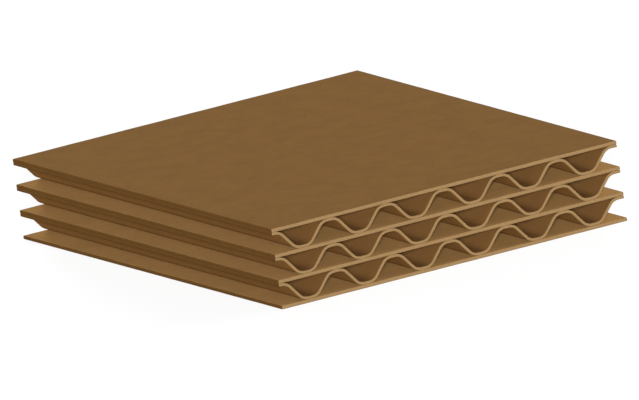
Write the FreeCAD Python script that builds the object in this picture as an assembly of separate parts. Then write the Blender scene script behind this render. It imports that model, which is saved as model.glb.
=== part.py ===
import FreeCAD, Part
import math
import os

# A cut piece of triple-wall corrugated cardboard: four flat liners with three fluted papers
# between them, glued to the liners at every crest and every trough.
# All sizes are in millimetres. X runs across the flutes, Y runs along them and Z goes up.
# The origin is the middle of the bottom face.

# The cut piece, across the flutes and along them.
board_width = 39.54
board_depth = 53.4

# The papers.
liner_thickness = 0.35
fluting_thickness = 0.28

# The flutes: crest to crest, the clear height between two liners, how wide each crest and trough
# is pressed flat against its liner, and the straight part of each leg.
flute_pitch = 6.5
flute_height = 2.28
crest_flat = 0.5
leg_length = 1.4

# How far the first crest lies inside the left cut end.
first_crest_inset = 0.08

# The starch glue: the film between a crest and its liner, and the width of each glue line, which
# reaches a little past the flat of the crest.
glue_film = 0.02
glue_line_width = 0.7

# The papers from the bottom up. Each fluting lies between the liner beside it in this order and
# the next one.
liner_names = ("bottom_liner", "lower_inner_liner", "upper_inner_liner", "top_liner")
fluting_names = ("lower_fluting", "middle_fluting", "upper_fluting")

# The section of a flute. Its middle line swings up and down by this much. Between the flat of a
# crest and the flat of a trough it runs in two arcs of one radius and the straight leg, with no
# corner between them.
half_pitch = flute_pitch / 2
flank_run = half_pitch - crest_flat
centre_swing = flute_height - fluting_thickness - 2 * glue_film
bend_radius = (flank_run ** 2 + centre_swing ** 2 - leg_length ** 2) / (4 * centre_swing)

# The slope of the legs, from the offset between the centres of a crest's arc and a trough's arc.
centres_rise = 2 * bend_radius - centre_swing
leg_slope = math.atan2(
    2 * bend_radius * flank_run - leg_length * centres_rise,
    leg_length * flank_run + 2 * bend_radius * centres_rise,
)

# Places that follow from the sizes.
left_end = -board_width / 2
front_end = -board_depth / 2
layer_pitch = liner_thickness + flute_height
board_height = liner_thickness + len(fluting_names) * layer_pitch
first_crest_x = left_end + first_crest_inset


def point(x, z):
    """A point of a section, in the plane of the front cut face."""
    return FreeCAD.Vector(x, front_end, z)


def line(start, end):
    """A straight edge of a section."""
    return Part.LineSegment(start, end).toShape()


def along_flutes(edges):
    """The solid that a closed section makes when it runs the whole depth of the board."""
    face = Part.Face(Part.Wire(edges))
    return face.extrude(FreeCAD.Vector(0, board_depth, 0))


def trimmed_to_board(solid):
    """The solids that are left of a solid inside the board's four cut ends."""
    corner = FreeCAD.Vector(left_end, front_end, 0)
    block = Part.makeBox(board_width, board_depth, board_height, corner)
    return solid.common(block).Solids


def bends():
    """The middles of all crests and troughs in order, as (x, is_crest), one bend past each end."""
    count = math.ceil((board_width - first_crest_inset) / half_pitch) + 1
    places = []
    for index in range(-1, count + 1):
        places.append((first_crest_x + index * half_pitch, index % 2 == 0))
    return places


def bend_edges(x, is_crest, radius, floor_z):
    """One surface's edges at a crest or a trough, left to right: an arc, the flat and an arc."""
    side = 1 if is_crest else -1
    low_line = floor_z + glue_film + fluting_thickness / 2
    line_z = low_line + centre_swing if is_crest else low_line
    centre_z = line_z - side * bend_radius
    left = x - crest_flat / 2
    right = x + crest_flat / 2

    def on_arc(centre_x, angle):
        return point(centre_x + radius * math.sin(angle), centre_z + side * radius * math.cos(angle))

    def arc(centre_x, start, end):
        middle = (start + end) / 2
        places = (on_arc(centre_x, start), on_arc(centre_x, middle), on_arc(centre_x, end))
        return Part.Arc(*places).toShape()

    flat = line(on_arc(left, 0), on_arc(right, 0))
    return [arc(left, -leg_slope, 0), flat, arc(right, 0, leg_slope)]


def fluting_surface(offset, floor_z):
    """The edges of one surface of a fluting, left to right, offset upwards from its middle line."""
    edges = []
    for x, is_crest in bends():
        radius = bend_radius + (offset if is_crest else -offset)
        bend = bend_edges(x, is_crest, radius, floor_z)
        if edges:
            edges.append(line(edges[-1].Vertexes[-1].Point, bend[0].Vertexes[0].Point))
        edges += bend
    return edges


def fluting(floor_z):
    """One fluted paper that stands between the liner below floor_z and the liner above it."""
    half = fluting_thickness / 2
    upper = fluting_surface(half, floor_z)
    lower = fluting_surface(-half, floor_z)
    left_edge = line(lower[0].Vertexes[0].Point, upper[0].Vertexes[0].Point)
    right_edge = line(upper[-1].Vertexes[-1].Point, lower[-1].Vertexes[-1].Point)
    section = upper + [right_edge] + lower[::-1] + [left_edge]
    return along_flutes(section)


def glue_lines(at_crests, waved_paper, floor_z):
    """The glue between a fluted paper and the liner on one side, as the room that the paper leaves."""
    reach = glue_film + fluting_thickness / 2
    bottom_z = floor_z + flute_height - reach if at_crests else floor_z
    solids = []
    for x, is_crest in bends():
        if is_crest == at_crests and abs(x) < (board_width + glue_line_width) / 2:
            corner = FreeCAD.Vector(x - glue_line_width / 2, front_end, bottom_z)
            block = Part.makeBox(glue_line_width, board_depth, reach, corner)
            solids += trimmed_to_board(block.cut(waved_paper))
    return solids


def liner(bottom_z):
    """One flat paper."""
    corner = FreeCAD.Vector(left_end, front_end, bottom_z)
    return [Part.makeBox(board_width, board_depth, liner_thickness, corner)]


def board():
    """Every paper and every set of glue lines, as a name and its solids."""
    nodes = {}
    for index, name in enumerate(liner_names):
        nodes[name] = liner(index * layer_pitch)
    for index, name in enumerate(fluting_names):
        floor_z = index * layer_pitch + liner_thickness
        waved_paper = fluting(floor_z)
        nodes[name] = trimmed_to_board(waved_paper)
        nodes["glue_below_" + name] = glue_lines(False, waved_paper, floor_z)
        nodes["glue_above_" + name] = glue_lines(True, waved_paper, floor_z)
    return nodes


os.makedirs("parts", exist_ok=True)
for name, solids in board().items():
    shape = solids[0] if len(solids) == 1 else Part.makeCompound(solids)
    shape.exportStep("parts/" + name + ".step")
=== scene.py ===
import math

import bpy
import numpy as np
from mathutils import Matrix, Vector


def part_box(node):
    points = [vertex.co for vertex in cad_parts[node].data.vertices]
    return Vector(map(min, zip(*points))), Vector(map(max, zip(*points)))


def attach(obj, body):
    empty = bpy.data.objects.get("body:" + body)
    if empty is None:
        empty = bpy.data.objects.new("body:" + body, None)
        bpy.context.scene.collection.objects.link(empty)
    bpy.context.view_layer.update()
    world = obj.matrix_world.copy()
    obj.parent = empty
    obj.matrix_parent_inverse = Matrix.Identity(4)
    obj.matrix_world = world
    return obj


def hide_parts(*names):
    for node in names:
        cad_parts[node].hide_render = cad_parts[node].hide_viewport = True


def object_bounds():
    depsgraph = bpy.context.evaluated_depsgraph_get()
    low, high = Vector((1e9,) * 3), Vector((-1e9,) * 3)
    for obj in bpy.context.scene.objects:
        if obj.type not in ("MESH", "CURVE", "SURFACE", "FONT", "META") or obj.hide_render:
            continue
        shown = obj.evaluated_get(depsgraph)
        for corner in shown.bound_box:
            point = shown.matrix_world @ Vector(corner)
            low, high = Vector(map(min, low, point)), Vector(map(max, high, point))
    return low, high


# The looks of a cut piece of triple-wall corrugated cardboard. All lengths are in metres.
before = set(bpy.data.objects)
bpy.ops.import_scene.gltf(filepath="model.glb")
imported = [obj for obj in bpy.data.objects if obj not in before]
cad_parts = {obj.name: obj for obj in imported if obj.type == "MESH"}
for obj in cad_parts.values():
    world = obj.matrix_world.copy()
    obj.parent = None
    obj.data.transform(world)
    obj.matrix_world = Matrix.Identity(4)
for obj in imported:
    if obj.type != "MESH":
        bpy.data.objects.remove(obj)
cad_low, cad_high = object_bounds()

MM = 0.001

# The section of a flute, as in the part's source.
FLUTE_PITCH = 6.5 * MM
FLUTING_THICKNESS = 0.28 * MM
CREST_FLAT = 0.5 * MM
LEG_LENGTH = 1.4 * MM
FIRST_CREST_INSET = 0.08 * MM
GLUE_LINE_WIDTH = 0.7 * MM

# Where the papers lie, read from the frame.
LINERS = ("bottom_liner", "lower_inner_liner", "upper_inner_liner", "top_liner")
FLUTINGS = ("lower_fluting", "middle_fluting", "upper_fluting")
LEFT, RIGHT = cad_low.x, cad_high.x
FRONT, BACK = cad_low.y, cad_high.y
FIRST_CREST = LEFT + FIRST_CREST_INSET
HALF_PITCH = FLUTE_PITCH / 2

# How the papers depart from ideal sheets: the outer liners sag between the glue lines, and the
# flutings cockle a little. The glue lines are uneven in width, and their long sides are hollow.
LINER_SAG = 0.008 * MM
COCKLE = 0.004 * MM
COCKLE_WAVELENGTH = 7 * MM
GLUE_UNEVENNESS = 0.12
GLUE_WAVELENGTH = 5 * MM
GLUE_HOLLOW = 0.03 * MM

# The cut edges are crushed to a slight rounding and are a little fuzzy, with a fine and a coarse
# unevenness. Each shift moves the pattern along as it goes through the thickness of the paper.
EDGE_SOFTNESS = 0.03 * MM
EDGE_POWER = 6
EDGE_FUZZ = 0.025 * MM
FUZZ_CONTRAST = 0.4
FINE_WAVELENGTH = 0.5 * MM
FINE_SHIFT = 40 * MM
COARSE_WAVELENGTH = 1.8 * MM
COARSE_SHIFT = 9 * MM
COARSE_SHARE = 0.6
EDGE_ROWS = (0.06, 0.2, 0.4, 0.6, 0.8, 0.94)

# Random unevenness is a sum of waves, with lengths in this range about the wavelength asked for.
NOISE_WAVES = 24
NOISE_SPREAD = (0.6, 1.6)

# Where each kind of piece starts in the random numbers, and the steps from piece to piece.
LINER_SEED = 100
COCKLE_SEED = 200
FLUTING_SEED = 210
PAPER_SEED_STEP = 10
GLUE_SEED = 400
GLUE_SEED_STEP = 20

# Spacing of the mesh points across and along the flutes, and the closer ones beside a cut end.
END_STEPS = (0.0, 0.06 * MM, 0.14 * MM, 0.28 * MM)
LINER_STEP = (0.25 * MM, 0.5 * MM)
FLUTING_STEP = (0.11 * MM, 0.75 * MM)
GLUE_STEP = 1.0 * MM
GLUE_COLUMNS = 9

# The material slots of a sheet's upper side, lower side, front and back cuts, and side cuts.
UPPER, LOWER, END_CUTS, SIDE_CUTS = range(4)

# Colours, linear.
LINER_COLOUR = (0.209, 0.112, 0.0395)
# The inner faces of the liners are the same paper as the outer faces, painted lighter: painted light
# against the shade in the flute channels.
INNER_PAINTED_LIGHT_COLOUR = (0.353, 0.201, 0.074)
# The upper side of the flutings is darker than their underside and the liners, though it is the same
# paper: painted shade in the troughs.
FLUTING_PAINTED_SHADE_COLOUR = (0.144, 0.0705, 0.023)
FLUTING_UNDER_COLOUR = (0.212, 0.108, 0.034)
CUT_COLOUR = (0.175, 0.108, 0.048)
# The cuts at the left and right ends are darker than the front and back cuts, though they are cuts
# of the same papers: painted shade.
SIDE_CUT_PAINTED_SHADE_COLOUR = (0.1, 0.047, 0.0128)
GLUE_COLOUR = (0.17, 0.092, 0.034)

# The grain of a paper's face, of a cut and of the glue, as its fineness along X, Y and Z.
FACE_GRAIN = (1.1, 14.0, 14.0)
CUT_GRAIN = (9.0, 9.0, 16.0)
GLUE_GRAIN = (3.0, 3.0, 3.0)
MOTTLE_GRAIN = (1.0, 1.0, 1.0)

# How much the fibres and the mottle change the tone, and the strength of the relief.
FACE_FINISH = (0.09, 0.05, 0.35)
CUT_FINISH = (0.12, 0.04, 0.5)
GLUE_FINISH = (0.05, 0.05, 0.2)

# The noises in a paper, each as its turn about Z in radians, its scale and its detail.
LONG_FIBRES = (0.12, 1.0, 3.0)
CROSS_FIBRES = (0.5, 1.3, 3.0)
MOTTLE = (0.0, 0.35, 4.0)
CROSS_FIBRE_SHARE = 0.6
NOISE_ROUGHNESS = 0.6
NOISE_RANGE = (0.3, 0.7)
RELIEF_DEPTH = 0.02 * MM
PAPER_ROUGHNESS = 0.9
PAPER_SPECULAR = 0.0

# The photograph's frame and its projection: how the object is turned, the scale, and the pixel
# of the top liner's front left corner.
PICTURE_SIZE = (639, 400)
PIXELS_PER_METRE = 10074
CORNER_PIXEL = (271.2, 229.5)
CAMERA_AZIMUTH = math.radians(-27.28)
CAMERA_ELEVATION = math.radians(12.76)
CAMERA_ROLL = math.radians(-7.94)
CAMERA_DISTANCE = 0.5

# The light, each level as a share of the light at which a colour renders as written. Each lamp
# has a name, an azimuth and an elevation in degrees, a level, and a spread in degrees.
WORLD_LEVEL = 0.25
SUNS = (
    ("front", -27, 13, 2.1, 7),
    ("left", -80, 8, 0.03, 20),
    ("right", 75, 6, 0.7, 20),
    ("back", 160, 8, 1.4, 20),
)
FLOOR_ALBEDO = 0.5
FLOOR_OWN_WHITE = 0.8
FLOOR_SHADOW_SHARE = 0.25
FLOOR_SIZE = 3.0
FLOOR_DROP = 0.01 * MM


def band_noise(x, y, wavelength, seed):
    """Smooth random waves of about one wavelength, roughly from -1 to 1."""
    rng = np.random.default_rng(seed)
    total = np.zeros(np.broadcast(x, y).shape)
    for _ in range(NOISE_WAVES):
        angle = rng.uniform(0, 2 * math.pi)
        k = 2 * math.pi / (wavelength * rng.uniform(*NOISE_SPREAD))
        phase = rng.uniform(0, 2 * math.pi)
        total += np.cos(k * (math.cos(angle) * x + math.sin(angle) * y) + phase)
    return total / math.sqrt(2 * NOISE_WAVES)


def stations(low, high, step):
    """Places from low to high, about step apart, with closer ones at both ends."""
    inner_low, inner_high = low + END_STEPS[-1], high - END_STEPS[-1]
    count = max(2, round((inner_high - inner_low) / step) + 1)
    middle = np.linspace(inner_low, inner_high, count)
    start = [low + s for s in END_STEPS[:-1]]
    end = [high - s for s in END_STEPS[-2::-1]]
    return np.concatenate([start, middle, end])


def paper_grid(steps):
    """The places of a whole paper's mesh points, as a grid of x and one of y."""
    xs = stations(LEFT, RIGHT, steps[0])
    ys = stations(FRONT, BACK, steps[1])
    return np.meshgrid(xs, ys, indexing="ij")


class FluteSection:
    """The height of a fluting's surfaces at any place across the flutes."""

    def __init__(self, node):
        low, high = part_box(node)
        self.swing = high.z - low.z - FLUTING_THICKNESS
        self.low_line = low.z + FLUTING_THICKNESS / 2
        run = HALF_PITCH - CREST_FLAT
        self.radius = (run ** 2 + self.swing ** 2 - LEG_LENGTH ** 2) / (4 * self.swing)
        rise = 2 * self.radius - self.swing
        self.slope = math.atan2(
            2 * self.radius * run - LEG_LENGTH * rise,
            LEG_LENGTH * run + 2 * self.radius * rise,
        )

    def height(self, x, offset):
        """The surface that lies offset above the middle line, at x."""
        along = np.mod(x - FIRST_CREST, FLUTE_PITCH)
        along = np.minimum(along, FLUTE_PITCH - along)
        from_crest = np.maximum(along - CREST_FLAT / 2, 0)
        to_trough = np.maximum(HALF_PITCH - along - CREST_FLAT / 2, 0)
        crest_r = self.radius + offset
        trough_r = self.radius - offset
        crest_reach = crest_r * math.sin(self.slope)
        trough_reach = trough_r * math.sin(self.slope)
        crest_centre = self.low_line + self.swing - self.radius
        trough_centre = self.low_line + self.radius
        crest = crest_centre + np.sqrt(crest_r ** 2 - np.minimum(from_crest, crest_reach) ** 2)
        trough = trough_centre - np.sqrt(trough_r ** 2 - np.minimum(to_trough, trough_reach) ** 2)
        leg_top = crest_centre + crest_r * math.cos(self.slope)
        leg = leg_top - (from_crest - crest_reach) * math.tan(self.slope)
        on_crest = from_crest <= crest_reach
        return np.where(on_crest, crest, np.where(to_trough <= trough_reach, trough, leg))

    def openness(self, x):
        """0 at a glued crest or trough and 1 midway between them."""
        return np.sin(math.pi * (x - FIRST_CREST) / HALF_PITCH) ** 2


def closed_sheet(x, y, upper, lower, seed, hollow=0.0):
    """A thin closed sheet between two height fields on one grid of places.

    Returns its points, its faces and each face's material slot.
    """
    nx, ny = x.shape
    ring = [(i, 0) for i in range(nx - 1)]
    ring += [(nx - 1, j) for j in range(ny - 1)]
    ring += [(i, ny - 1) for i in range(nx - 1, 0, -1)]
    ring += [(0, j) for j in range(ny - 1, 0, -1)]
    ring_slots = ([END_CUTS] * (nx - 1) + [SIDE_CUTS] * (ny - 1)) * 2
    ri = np.array([i for i, _ in ring])
    rj = np.array([j for _, j in ring])
    out_x = np.where(ri == 0, -1.0, np.where(ri == nx - 1, 1.0, 0.0))
    out_y = np.where(rj == 0, -1.0, np.where(rj == ny - 1, 1.0, 0.0))
    ring_x, ring_y = x[ri, rj], y[ri, rj]

    def ring_row(share):
        """The points of the cut edge at a share of the thickness, 0 at the upper side."""
        from_middle = 2 * share - 1
        fine = band_noise(ring_x + ring_y, FINE_SHIFT * share + ring_y, FINE_WAVELENGTH, seed + 1)
        coarse = band_noise(ring_x - ring_y, COARSE_SHIFT * share, COARSE_WAVELENGTH, seed + 2)
        fuzz = np.clip(0.5 + FUZZ_CONTRAST * (fine + COARSE_SHARE * coarse), 0, 1)
        inset = EDGE_SOFTNESS * abs(from_middle) ** EDGE_POWER + EDGE_FUZZ * fuzz
        dent = np.where(out_y == 0, hollow * (1 - from_middle ** 2), 0)
        z = (1 - share) * upper[ri, rj] + share * lower[ri, rj]
        return np.column_stack([ring_x - out_x * (inset + dent), ring_y - out_y * inset, z])

    flat_upper = np.column_stack([x.ravel(), y.ravel(), upper.ravel()])
    flat_lower = np.column_stack([x.ravel(), y.ravel(), lower.ravel()])
    edge = ri * ny + rj
    flat_upper[edge] = ring_row(0.0)
    flat_lower[edge] = ring_row(1.0)
    points = [flat_upper, flat_lower] + [ring_row(share) for share in EDGE_ROWS]

    index = np.arange(nx * ny).reshape(nx, ny)
    quads = np.stack([index[:-1, :-1], index[1:, :-1], index[1:, 1:], index[:-1, 1:]], axis=-1)
    quads = quads.reshape(-1, 4)
    faces = [quads, quads[:, ::-1] + nx * ny]
    slots = [UPPER] * len(quads) + [LOWER] * len(quads)
    rows = [edge]
    for row in range(len(EDGE_ROWS)):
        rows.append(2 * nx * ny + row * len(ring) + np.arange(len(ring)))
    rows.append(edge + nx * ny)
    for above, below in zip(rows, rows[1:]):
        faces.append(np.column_stack([above, below, np.roll(below, -1), np.roll(above, -1)]))
        slots += ring_slots
    return np.vstack(points), np.vstack(faces), slots


def make_piece(name, sheets, materials):
    """One object from closed sheets, riding on the root in place of the CAD node of its name."""
    points, faces, slots, start = [], [], [], 0
    for sheet_points, sheet_faces, sheet_slots in sheets:
        points.append(sheet_points)
        faces.append(sheet_faces + start)
        slots += sheet_slots
        start += len(sheet_points)
    mesh = bpy.data.meshes.new(name + "_look")
    mesh.from_pydata(np.vstack(points).tolist(), [], np.vstack(faces).tolist())
    for material in materials:
        mesh.materials.append(material)
    mesh.polygons.foreach_set("material_index", slots)
    mesh.polygons.foreach_set("use_smooth", [True] * len(mesh.polygons))
    mesh.update()
    piece = bpy.data.objects.new(name + "_look", mesh)
    bpy.context.scene.collection.objects.link(piece)
    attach(piece, "root")
    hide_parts(name)


def add(nodes, kind, **values):
    """A shader node of a kind, with its properties set."""
    node = nodes.new(kind)
    for key, value in values.items():
        setattr(node, key, value)
    return node


def link_noise(tree, coordinates, grain, turn, scale, detail):
    """Noise on places in millimetres, turned about Z and as fine along each axis as grain says."""
    mapping = add(tree.nodes, "ShaderNodeMapping")
    mapping.inputs["Rotation"].default_value = (0, 0, turn)
    mapping.inputs["Scale"].default_value = tuple(fineness / MM for fineness in grain)
    noise = add(tree.nodes, "ShaderNodeTexNoise")
    noise.inputs["Scale"].default_value = scale
    noise.inputs["Detail"].default_value = detail
    noise.inputs["Roughness"].default_value = NOISE_ROUGHNESS
    tree.links.new(coordinates, mapping.inputs["Vector"])
    tree.links.new(mapping.outputs["Vector"], noise.inputs["Vector"])
    return noise.outputs["Fac"]


def weigh(tree, value, contrast):
    """A noise, taken to a factor that runs from 1 less the contrast to 1 plus the contrast."""
    node = add(tree.nodes, "ShaderNodeMapRange")
    node.inputs["From Min"].default_value = NOISE_RANGE[0]
    node.inputs["From Max"].default_value = NOISE_RANGE[1]
    node.inputs["To Min"].default_value = 1 - contrast
    node.inputs["To Max"].default_value = 1 + contrast
    tree.links.new(value, node.inputs["Value"])
    return node.outputs["Result"]


def multiply(tree, first, second):
    """The product of two values."""
    node = add(tree.nodes, "ShaderNodeMath", operation="MULTIPLY")
    tree.links.new(first, node.inputs[0])
    tree.links.new(second, node.inputs[1])
    return node.outputs[0]


def paper_material(name, colour, finish, grain):
    """Uncoated paper: cloudy mottle, long fibres along X and others across them, and no gloss."""
    fibre_contrast, mottle_contrast, relief_strength = finish
    material = bpy.data.materials.new(name)
    material.use_nodes = True
    tree = material.node_tree
    shader = tree.nodes["Principled BSDF"]
    shader.inputs["Roughness"].default_value = PAPER_ROUGHNESS
    shader.inputs["Specular IOR Level"].default_value = PAPER_SPECULAR
    place = add(tree.nodes, "ShaderNodeTexCoord").outputs["Object"]
    cross_grain = (grain[1], grain[0], grain[2])
    long_fibres = link_noise(tree, place, grain, *LONG_FIBRES)
    cross_fibres = link_noise(tree, place, cross_grain, *CROSS_FIBRES)
    mottle = link_noise(tree, place, MOTTLE_GRAIN, *MOTTLE)
    tone = weigh(tree, long_fibres, fibre_contrast)
    tone = multiply(tree, tone, weigh(tree, cross_fibres, CROSS_FIBRE_SHARE * fibre_contrast))
    tone = multiply(tree, tone, weigh(tree, mottle, mottle_contrast))
    tint = add(tree.nodes, "ShaderNodeVectorMath", operation="SCALE")
    tint.inputs[0].default_value = colour
    tree.links.new(tone, tint.inputs["Scale"])
    tree.links.new(tint.outputs["Vector"], shader.inputs["Base Color"])
    relief = add(tree.nodes, "ShaderNodeBump")
    relief.inputs["Strength"].default_value = relief_strength
    relief.inputs["Distance"].default_value = RELIEF_DEPTH
    tree.links.new(multiply(tree, long_fibres, cross_fibres), relief.inputs["Height"])
    tree.links.new(relief.outputs["Normal"], shader.inputs["Normal"])
    return material


def build_materials():
    """The papers' faces, their cuts and the glue, by name."""
    # The inner liner faces carry painted light; the flutings' upper side and the side cuts carry
    # painted shade.
    looks = {
        "liner_outer": (LINER_COLOUR, FACE_FINISH, FACE_GRAIN),
        "liner_inner_painted_light": (INNER_PAINTED_LIGHT_COLOUR, FACE_FINISH, FACE_GRAIN),
        "fluting": (FLUTING_PAINTED_SHADE_COLOUR, FACE_FINISH, FACE_GRAIN),
        "fluting_under": (FLUTING_UNDER_COLOUR, FACE_FINISH, FACE_GRAIN),
        "cut_end": (CUT_COLOUR, CUT_FINISH, CUT_GRAIN),
        "cut_side_painted_shade": (SIDE_CUT_PAINTED_SHADE_COLOUR, CUT_FINISH, CUT_GRAIN),
        "glue": (GLUE_COLOUR, GLUE_FINISH, GLUE_GRAIN),
    }
    return {name: paper_material(name, *values) for name, values in looks.items()}


def build_liners(materials):
    """The four flat papers. The outer two sag a little between the lines that hold them."""
    for number, name in enumerate(LINERS):
        low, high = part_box(name)
        x, y = paper_grid(LINER_STEP)
        phase = (x - FIRST_CREST) * 2 * math.pi / FLUTE_PITCH
        relief = np.zeros_like(x)
        if name == LINERS[-1]:
            relief = -LINER_SAG * (1 - np.cos(phase)) / 2
        if name == LINERS[0]:
            relief = LINER_SAG * (1 + np.cos(phase)) / 2
        # Every face between the papers takes the lighter inner colour, painted light, and the side
        # cuts take painted shade.
        upper = "liner_outer" if name == LINERS[-1] else "liner_inner_painted_light"
        lower = "liner_outer" if name == LINERS[0] else "liner_inner_painted_light"
        seed = LINER_SEED + PAPER_SEED_STEP * number
        sheet = closed_sheet(x, y, high.z + relief, low.z + relief, seed)
        looks = [materials[key] for key in (upper, lower, "cut_end", "cut_side_painted_shade")]
        make_piece(name, [sheet], looks)


def build_flutings(materials):
    """The three waved papers."""
    # The upper side takes the darker fluting colour and the ends take the darker side cuts: painted
    # shade.
    looks = [materials[key] for key in ("fluting", "fluting_under", "cut_end", "cut_side_painted_shade")]
    for number, name in enumerate(FLUTINGS):
        section = FluteSection(name)
        x, y = paper_grid(FLUTING_STEP)
        bulge = band_noise(x, y, COCKLE_WAVELENGTH, COCKLE_SEED + number)
        cockle = COCKLE * section.openness(x) * bulge
        upper = section.height(x, FLUTING_THICKNESS / 2) + cockle
        lower = section.height(x, -FLUTING_THICKNESS / 2) + cockle
        seed = FLUTING_SEED + PAPER_SEED_STEP * number
        sheet = closed_sheet(x, y, upper, lower, seed)
        make_piece(name, [sheet], looks)


def glue_sheets(fluting, at_crests, seed):
    """The glue lines on one side of a fluting, each a little uneven in width."""
    section = FluteSection(fluting)
    level = FLUTINGS.index(fluting)
    liner_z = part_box(LINERS[level + 1])[0].z if at_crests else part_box(LINERS[level])[1].z
    first = FIRST_CREST + (0 if at_crests else HALF_PITCH)
    ys = stations(FRONT, BACK, GLUE_STEP)
    sheets = []
    for number in range(math.ceil((RIGHT - first) / FLUTE_PITCH)):
        middle = first + number * FLUTE_PITCH
        unevenness = band_noise(ys, np.zeros_like(ys), GLUE_WAVELENGTH, seed + number)
        half = GLUE_LINE_WIDTH / 2 * (1 + GLUE_UNEVENNESS * unevenness)
        start = np.maximum(middle - half, LEFT)
        end = np.minimum(middle + half, RIGHT)
        share = np.linspace(0, 1, GLUE_COLUMNS)[:, None]
        x = start + share * (end - start)
        y = np.broadcast_to(ys, x.shape)
        flat = np.full_like(x, liner_z)
        if at_crests:
            upper = flat
            lower = section.height(x, FLUTING_THICKNESS / 2)
        else:
            upper = section.height(x, -FLUTING_THICKNESS / 2)
            lower = flat
        sheets.append(closed_sheet(x, y, upper, lower, seed + number, GLUE_HOLLOW))
    return sheets


def build_glue(materials):
    """The starch between every crest or trough and its liner."""
    looks = [materials[key] for key in ("glue", "glue", "cut_end", "glue")]
    for number, fluting in enumerate(FLUTINGS):
        for side, at_crests in (("above", True), ("below", False)):
            seed = GLUE_SEED + GLUE_SEED_STEP * (2 * number + at_crests)
            sheets = glue_sheets(fluting, at_crests, seed)
            make_piece("glue_" + side + "_" + fluting, sheets, looks)


def seen_directly(tree):
    """1 for what the camera, a gloss or a clear surface sees, and 0 for what lights the object."""
    path = add(tree.nodes, "ShaderNodeLightPath")
    either = add(tree.nodes, "ShaderNodeMath", operation="MAXIMUM")
    tree.links.new(path.outputs["Is Camera Ray"], either.inputs[0])
    tree.links.new(path.outputs["Is Glossy Ray"], either.inputs[1])
    any_ray = add(tree.nodes, "ShaderNodeMath", operation="MAXIMUM")
    tree.links.new(either.outputs[0], any_ray.inputs[0])
    tree.links.new(path.outputs["Is Transmission Ray"], any_ray.inputs[1])
    return any_ray.outputs[0]


def build_world():
    """A plain white surround, dimmer as a light than it looks."""
    world = bpy.data.worlds.new("surround")
    bpy.context.scene.world = world
    world.use_nodes = True
    tree = world.node_tree
    tree.nodes.clear()
    light = add(tree.nodes, "ShaderNodeBackground")
    light.inputs["Strength"].default_value = WORLD_LEVEL
    seen = add(tree.nodes, "ShaderNodeBackground")
    for node in (light, seen):
        node.inputs["Color"].default_value = (1, 1, 1, 1)
    mix = add(tree.nodes, "ShaderNodeMixShader")
    output = add(tree.nodes, "ShaderNodeOutputWorld")
    tree.links.new(seen_directly(tree), mix.inputs["Fac"])
    tree.links.new(light.outputs[0], mix.inputs[1])
    tree.links.new(seen.outputs[0], mix.inputs[2])
    tree.links.new(mix.outputs[0], output.inputs["Surface"])


def floor_material():
    """White as the camera sees it, with a faint shadow, and a mid grey to the light that bounces."""
    material = bpy.data.materials.new("floor_white")
    material.use_nodes = True
    tree = material.node_tree
    tree.nodes.clear()
    bounce = add(tree.nodes, "ShaderNodeBsdfDiffuse")
    bounce.inputs["Color"].default_value = (FLOOR_ALBEDO, FLOOR_ALBEDO, FLOOR_ALBEDO, 1)
    own = add(tree.nodes, "ShaderNodeEmission")
    own.inputs["Strength"].default_value = FLOOR_OWN_WHITE
    shade = add(tree.nodes, "ShaderNodeBsdfDiffuse")
    shade.inputs["Color"].default_value = (FLOOR_SHADOW_SHARE,) * 3 + (1,)
    both = add(tree.nodes, "ShaderNodeAddShader")
    mix = add(tree.nodes, "ShaderNodeMixShader")
    output = add(tree.nodes, "ShaderNodeOutputMaterial")
    tree.links.new(own.outputs[0], both.inputs[0])
    tree.links.new(shade.outputs[0], both.inputs[1])
    tree.links.new(seen_directly(tree), mix.inputs["Fac"])
    tree.links.new(bounce.outputs[0], mix.inputs[1])
    tree.links.new(both.outputs[0], mix.inputs[2])
    tree.links.new(mix.outputs[0], output.inputs["Surface"])
    return material


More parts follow.
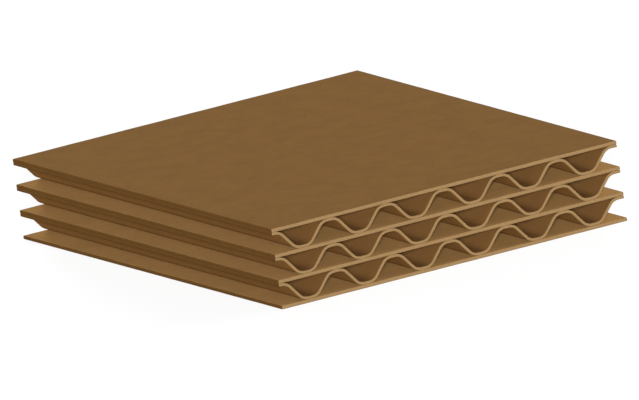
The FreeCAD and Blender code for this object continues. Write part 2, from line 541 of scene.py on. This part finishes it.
def build_floor():
    """A plain floor just under the object."""
    half = FLOOR_SIZE / 2
    z = cad_low.z - FLOOR_DROP
    corners = [(-half, -half, z), (half, -half, z), (half, half, z), (-half, half, z)]
    mesh = bpy.data.meshes.new("floor")
    mesh.from_pydata(corners, [], [(0, 1, 2, 3)])
    mesh.materials.append(floor_material())
    floor = bpy.data.objects.new("floor", mesh)
    bpy.context.scene.collection.objects.link(floor)


def direction(azimuth, elevation):
    """The direction from the object towards a place at an azimuth and elevation, in radians."""
    return Vector((
        math.sin(azimuth) * math.cos(elevation),
        -math.cos(azimuth) * math.cos(elevation),
        math.sin(elevation),
    ))


def build_lights():
    """Soft lamps far away, so that the light is even over the object and the floor."""
    for name, azimuth, elevation, level, spread in SUNS:
        lamp = bpy.data.lights.new(name, "SUN")
        lamp.energy = level * math.pi
        lamp.angle = math.radians(spread)
        holder = bpy.data.objects.new(name, lamp)
        towards = direction(math.radians(azimuth), math.radians(elevation))
        holder.rotation_mode = "QUATERNION"
        holder.rotation_quaternion = towards.to_track_quat("Z", "Y")
        holder.location = towards
        bpy.context.scene.collection.objects.link(holder)


def build_camera():
    """A parallel projection, turned so that the top liner's corner falls on its pixel."""
    back = direction(CAMERA_AZIMUTH, CAMERA_ELEVATION)
    level_right = Vector((math.cos(CAMERA_AZIMUTH), math.sin(CAMERA_AZIMUTH), 0))
    level_up = back.cross(level_right)
    right = level_right * math.cos(CAMERA_ROLL) + level_up * math.sin(CAMERA_ROLL)
    up = back.cross(right)
    corner = Vector((LEFT, FRONT, cad_high.z))
    across = (PICTURE_SIZE[0] / 2 - CORNER_PIXEL[0]) / PIXELS_PER_METRE
    upwards = (CORNER_PIXEL[1] - PICTURE_SIZE[1] / 2) / PIXELS_PER_METRE
    place = corner + right * across + up * upwards + back * CAMERA_DISTANCE
    data = bpy.data.cameras.new("camera")
    data.type = "ORTHO"
    data.ortho_scale = PICTURE_SIZE[0] / PIXELS_PER_METRE
    camera = bpy.data.objects.new("camera", data)
    axes = Matrix((right, up, back)).transposed()
    camera.matrix_world = Matrix.Translation(place) @ axes.to_4x4()
    bpy.context.scene.collection.objects.link(camera)
    bpy.context.scene.camera = camera


bpy.context.scene.view_settings.view_transform = "Standard"
materials = build_materials()
build_liners(materials)
build_flutings(materials)
build_glue(materials)
build_world()
build_floor()
build_lights()
build_camera()
